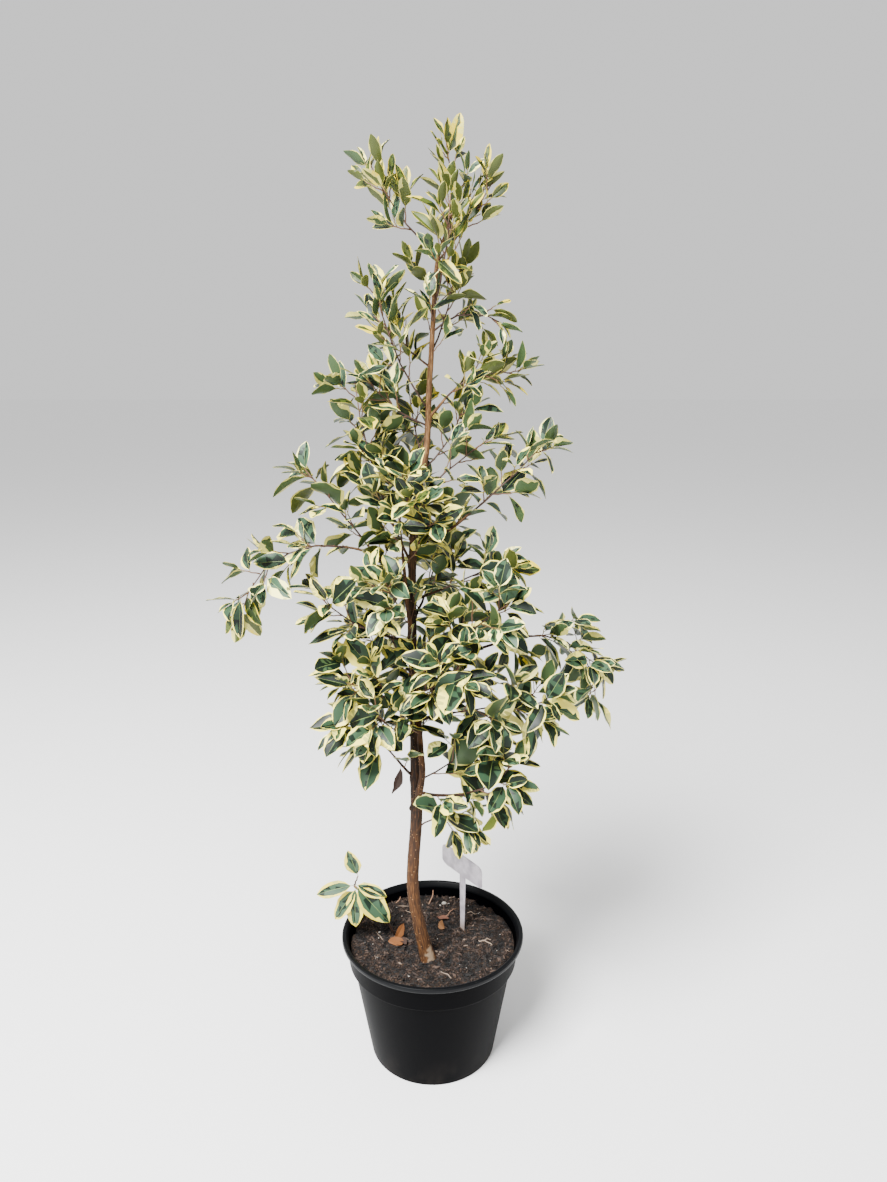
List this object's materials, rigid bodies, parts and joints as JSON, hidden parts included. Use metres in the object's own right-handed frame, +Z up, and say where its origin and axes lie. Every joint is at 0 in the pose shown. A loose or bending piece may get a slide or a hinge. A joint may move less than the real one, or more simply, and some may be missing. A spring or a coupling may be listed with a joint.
{
  "type": "variegated evergreen buckthorn tree in a nursery pot",
  "caption": "Young variegated evergreen tree grown as a tapering leader, with open leafy side boughs and a low shoot, in a round black nursery pot with a blank label.",
  "frame": {"origin": "centre of the pot's flat underside", "axes": "+Z up along the leader, +X to the right and +Y to the rear as seen from the front"},
  "size_m": [0.6811, 0.3963, 1.4417],
  "materials": {
    "pot_plastic": "satin black moulded plastic",
    "potting_mix": "matt, dark, crumbly potting mix with bark",
    "label_plastic": "satin off-white sheet plastic",
    "bark": "thin brown bark with pale pores",
    "foliage": "satin leaves, dark green with cream margins"
  },
  "bodies": {
    "root": {"pot": "pot_plastic", "soil": "potting_mix", "label": "label_plastic", "trunk": "bark", "second_stem": "bark", "bough_low_right": "bark", "bough_low_left": "bark", "bough_low_rear": "bark", "bough_right_low": "bark", "bough_right_droop": "bark", "bough_rear_left": "bark", "bough_right_middle": "bark", "bough_left_middle": "bark", "bough_rear_middle": "bark", "bough_left_upper": "bark", "bough_left_long": "bark", "bough_right_forked": "bark", "bough_left_upright": "bark", "bough_right_upper": "bark", "bough_rear_upper": "bark", "bough_right_high": "bark", "leaves_low_right": "foliage", "leaves_low_left": "foliage", "leaves_low_rear": "foliage", "leaves_right_low": "foliage", "leaves_right_droop": "foliage", "leaves_rear_left": "foliage", "leaves_right_middle": "foliage", "leaves_left_middle": "foliage", "leaves_rear_middle": "foliage", "leaves_left_upper": "foliage", "leaves_left_long": "foliage", "leaves_right_forked": "foliage", "leaves_left_upright": "foliage", "leaves_right_upper": "foliage", "leaves_rear_upper": "foliage", "leaves_right_high": "foliage", "leaves_stem_top": "foliage", "leaves_leader_top": "foliage", "leaves_nodding": "foliage", "leaves_low_centre": "foliage", "leaves_low_front": "foliage", "leaves_left_lower": "foliage", "leaves_front_right": "foliage", "leaves_front_left": "foliage", "leaves_front_upper": "foliage", "leaves_front_high": "foliage", "leaves_shoulder_low": "foliage", "leaves_shoulder_high": "foliage", "leaves_rear_high": "foliage", "leaves_left_high": "foliage", "leaves_left_near": "foliage", "leaves_rear_top": "foliage", "leaves_arching": "foliage", "leaves_left_crown": "foliage", "leaves_front_crown": "foliage", "leaves_top_left": "foliage", "leaves_top_right": "foliage", "leaves_low_shoot": "foliage"}
  },
  "joints": []
}
